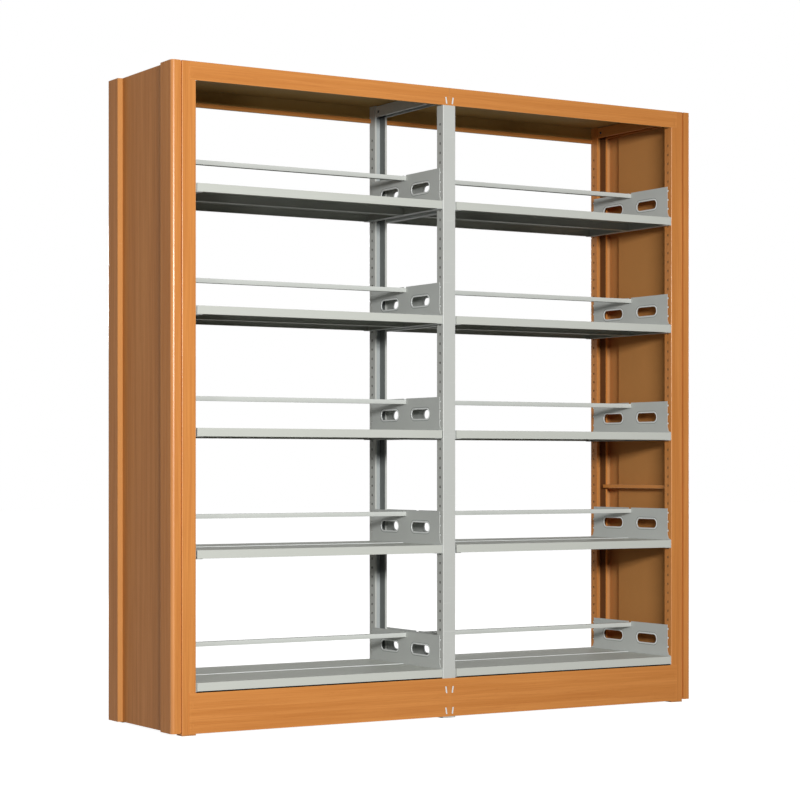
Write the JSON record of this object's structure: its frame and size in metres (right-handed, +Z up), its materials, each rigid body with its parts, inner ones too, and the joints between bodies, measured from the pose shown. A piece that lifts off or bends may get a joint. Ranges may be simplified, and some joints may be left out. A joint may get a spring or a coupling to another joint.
{
  "type": "double sided library shelving",
  "caption": "Free-standing double-sided library shelving in two bays: perforated steel posts, hooked brackets, loose folded shelves, stop bars, end panels, kick skirts.",
  "frame": {"origin": "on the floor at the centre of the footprint", "axes": "+X along the bays to the right as the front face is seen, +Y from the front face to the rear face, +Z up"},
  "size_m": [1.928, 0.456, 1.98],
  "materials": {
    "post": "light grey powder coat, satin",
    "end_frame": "orange-brown powder coat, satin",
    "foot": "moulded grey, matt",
    "cladding": "wood-grain print on steel sheet, satin",
    "shelf": "light grey powder coat, satin",
    "bracket": "light grey powder coat, satin",
    "stop_bar": "light grey powder coat, satin"
  },
  "bodies": {
    "frame": {"front_post_left": "cladding", "rear_post_left": "cladding", "front_post_middle": "post", "rear_post_middle": "post", "front_post_right": "cladding", "rear_post_right": "cladding", "post_feet": "foot", "top_beam_middle": "post", "top_beams_end": "end_frame", "bottom_beams": "post", "mid_ties_end": "end_frame", "end_panel_left": "cladding", "top_board_left": "cladding", "front_skirt_left": "cladding", "rear_skirt_left": "cladding", "end_panel_right": "cladding", "top_board_right": "cladding", "front_skirt_right": "cladding", "rear_skirt_right": "cladding", "tier_1_left_brackets": "bracket", "tier_1_right_brackets": "bracket", "tier_2_left_brackets": "bracket", "tier_2_right_brackets": "bracket", "tier_3_left_brackets": "bracket", "tier_3_right_brackets": "bracket", "tier_4_left_brackets": "bracket", "tier_4_right_brackets": "bracket", "tier_5_left_brackets": "bracket", "tier_5_right_brackets": "bracket"},
    "tier_1_left_stop_bar": {"tier_1_left_stop_bar": "stop_bar"},
    "tier_1_left_front_board": {"tier_1_left_front_board": "shelf"},
    "tier_1_left_rear_board": {"tier_1_left_rear_board": "shelf"},
    "tier_1_right_stop_bar": {"tier_1_right_stop_bar": "stop_bar"},
    "tier_1_right_front_board": {"tier_1_right_front_board": "shelf"},
    "tier_1_right_rear_board": {"tier_1_right_rear_board": "shelf"},
    "tier_2_left_stop_bar": {"tier_2_left_stop_bar": "stop_bar"},
    "tier_2_left_front_board": {"tier_2_left_front_board": "shelf"},
    "tier_2_left_rear_board": {"tier_2_left_rear_board": "shelf"},
    "tier_2_right_stop_bar": {"tier_2_right_stop_bar": "stop_bar"},
    "tier_2_right_front_board": {"tier_2_right_front_board": "shelf"},
    "tier_2_right_rear_board": {"tier_2_right_rear_board": "shelf"},
    "tier_3_left_stop_bar": {"tier_3_left_stop_bar": "stop_bar"},
    "tier_3_left_front_board": {"tier_3_left_front_board": "shelf"},
    "tier_3_left_rear_board": {"tier_3_left_rear_board": "shelf"},
    "tier_3_right_stop_bar": {"tier_3_right_stop_bar": "stop_bar"},
    "tier_3_right_front_board": {"tier_3_right_front_board": "shelf"},
    "tier_3_right_rear_board": {"tier_3_right_rear_board": "shelf"},
    "tier_4_left_stop_bar": {"tier_4_left_stop_bar": "stop_bar"},
    "tier_4_left_front_board": {"tier_4_left_front_board": "shelf"},
    "tier_4_left_rear_board": {"tier_4_left_rear_board": "shelf"},
    "tier_4_right_stop_bar": {"tier_4_right_stop_bar": "stop_bar"},
    "tier_4_right_front_board": {"tier_4_right_front_board": "shelf"},
    "tier_4_right_rear_board": {"tier_4_right_rear_board": "shelf"},
    "tier_5_left_stop_bar": {"tier_5_left_stop_bar": "stop_bar"},
    "tier_5_left_front_board": {"tier_5_left_front_board": "shelf"},
    "tier_5_left_rear_board": {"tier_5_left_rear_board": "shelf"},
    "tier_5_right_stop_bar": {"tier_5_right_stop_bar": "stop_bar"},
    "tier_5_right_front_board": {"tier_5_right_front_board": "shelf"},
    "tier_5_right_rear_board": {"tier_5_right_rear_board": "shelf"}
  },
  "joints": [
    {"name": "tier_1_left_stop_bar_lift", "type": "slide", "parent": "frame", "child": "tier_1_left_stop_bar", "axis": [0, 0, 1], "range_m": [0, 0.03]},
    {"name": "tier_1_left_front_board_lift", "type": "slide", "parent": "frame", "child": "tier_1_left_front_board", "axis": [0, 0, 1], "range_m": [0, 0.06]},
    {"name": "tier_1_left_rear_board_lift", "type": "slide", "parent": "frame", "child": "tier_1_left_rear_board", "axis": [0, 0, 1], "range_m": [0, 0.06]},
    {"name": "tier_1_right_stop_bar_lift", "type": "slide", "parent": "frame", "child": "tier_1_right_stop_bar", "axis": [0, 0, 1], "range_m": [0, 0.03]},
    {"name": "tier_1_right_front_board_lift", "type": "slide", "parent": "frame", "child": "tier_1_right_front_board", "axis": [0, 0, 1], "range_m": [0, 0.06]},
    {"name": "tier_1_right_rear_board_lift", "type": "slide", "parent": "frame", "child": "tier_1_right_rear_board", "axis": [0, 0, 1], "range_m": [0, 0.06]},
    {"name": "tier_2_left_stop_bar_lift", "type": "slide", "parent": "frame", "child": "tier_2_left_stop_bar", "axis": [0, 0, 1], "range_m": [0, 0.03]},
    {"name": "tier_2_left_front_board_lift", "type": "slide", "parent": "frame", "child": "tier_2_left_front_board", "axis": [0, 0, 1], "range_m": [0, 0.06]},
    {"name": "tier_2_left_rear_board_lift", "type": "slide", "parent": "frame", "child": "tier_2_left_rear_board", "axis": [0, 0, 1], "range_m": [0, 0.06]},
    {"name": "tier_2_right_stop_bar_lift", "type": "slide", "parent": "frame", "child": "tier_2_right_stop_bar", "axis": [0, 0, 1], "range_m": [0, 0.03]},
    {"name": "tier_2_right_front_board_lift", "type": "slide", "parent": "frame", "child": "tier_2_right_front_board", "axis": [0, 0, 1], "range_m": [0, 0.06]},
    {"name": "tier_2_right_rear_board_lift", "type": "slide", "parent": "frame", "child": "tier_2_right_rear_board", "axis": [0, 0, 1], "range_m": [0, 0.06]},
    {"name": "tier_3_left_stop_bar_lift", "type": "slide", "parent": "frame", "child": "tier_3_left_stop_bar", "axis": [0, 0, 1], "range_m": [0, 0.03]},
    {"name": "tier_3_left_front_board_lift", "type": "slide", "parent": "frame", "child": "tier_3_left_front_board", "axis": [0, 0, 1], "range_m": [0, 0.06]},
    {"name": "tier_3_left_rear_board_lift", "type": "slide", "parent": "frame", "child": "tier_3_left_rear_board", "axis": [0, 0, 1], "range_m": [0, 0.06]},
    {"name": "tier_3_right_stop_bar_lift", "type": "slide", "parent": "frame", "child": "tier_3_right_stop_bar", "axis": [0, 0, 1], "range_m": [0, 0.03]},
    {"name": "tier_3_right_front_board_lift", "type": "slide", "parent": "frame", "child": "tier_3_right_front_board", "axis": [0, 0, 1], "range_m": [0, 0.06]},
    {"name": "tier_3_right_rear_board_lift", "type": "slide", "parent": "frame", "child": "tier_3_right_rear_board", "axis": [0, 0, 1], "range_m": [0, 0.06]},
    {"name": "tier_4_left_stop_bar_lift", "type": "slide", "parent": "frame", "child": "tier_4_left_stop_bar", "axis": [0, 0, 1], "range_m": [0, 0.03]},
    {"name": "tier_4_left_front_board_lift", "type": "slide", "parent": "frame", "child": "tier_4_left_front_board", "axis": [0, 0, 1], "range_m": [0, 0.06]},
    {"name": "tier_4_left_rear_board_lift", "type": "slide", "parent": "frame", "child": "tier_4_left_rear_board", "axis": [0, 0, 1], "range_m": [0, 0.06]},
    {"name": "tier_4_right_stop_bar_lift", "type": "slide", "parent": "frame", "child": "tier_4_right_stop_bar", "axis": [0, 0, 1], "range_m": [0, 0.03]},
    {"name": "tier_4_right_front_board_lift", "type": "slide", "parent": "frame", "child": "tier_4_right_front_board", "axis": [0, 0, 1], "range_m": [0, 0.06]},
    {"name": "tier_4_right_rear_board_lift", "type": "slide", "parent": "frame", "child": "tier_4_right_rear_board", "axis": [0, 0, 1], "range_m": [0, 0.06]},
    {"name": "tier_5_left_stop_bar_lift", "type": "slide", "parent": "frame", "child": "tier_5_left_stop_bar", "axis": [0, 0, 1], "range_m": [0, 0.03]},
    {"name": "tier_5_left_front_board_lift", "type": "slide", "parent": "frame", "child": "tier_5_left_front_board", "axis": [0, 0, 1], "range_m": [0, 0.06]},
    {"name": "tier_5_left_rear_board_lift", "type": "slide", "parent": "frame", "child": "tier_5_left_rear_board", "axis": [0, 0, 1], "range_m": [0, 0.06]},
    {"name": "tier_5_right_stop_bar_lift", "type": "slide", "parent": "frame", "child": "tier_5_right_stop_bar", "axis": [0, 0, 1], "range_m": [0, 0.03]},
    {"name": "tier_5_right_front_board_lift", "type": "slide", "parent": "frame", "child": "tier_5_right_front_board", "axis": [0, 0, 1], "range_m": [0, 0.06]},
    {"name": "tier_5_right_rear_board_lift", "type": "slide", "parent": "frame", "child": "tier_5_right_rear_board", "axis": [0, 0, 1], "range_m": [0, 0.06]}
  ]
}
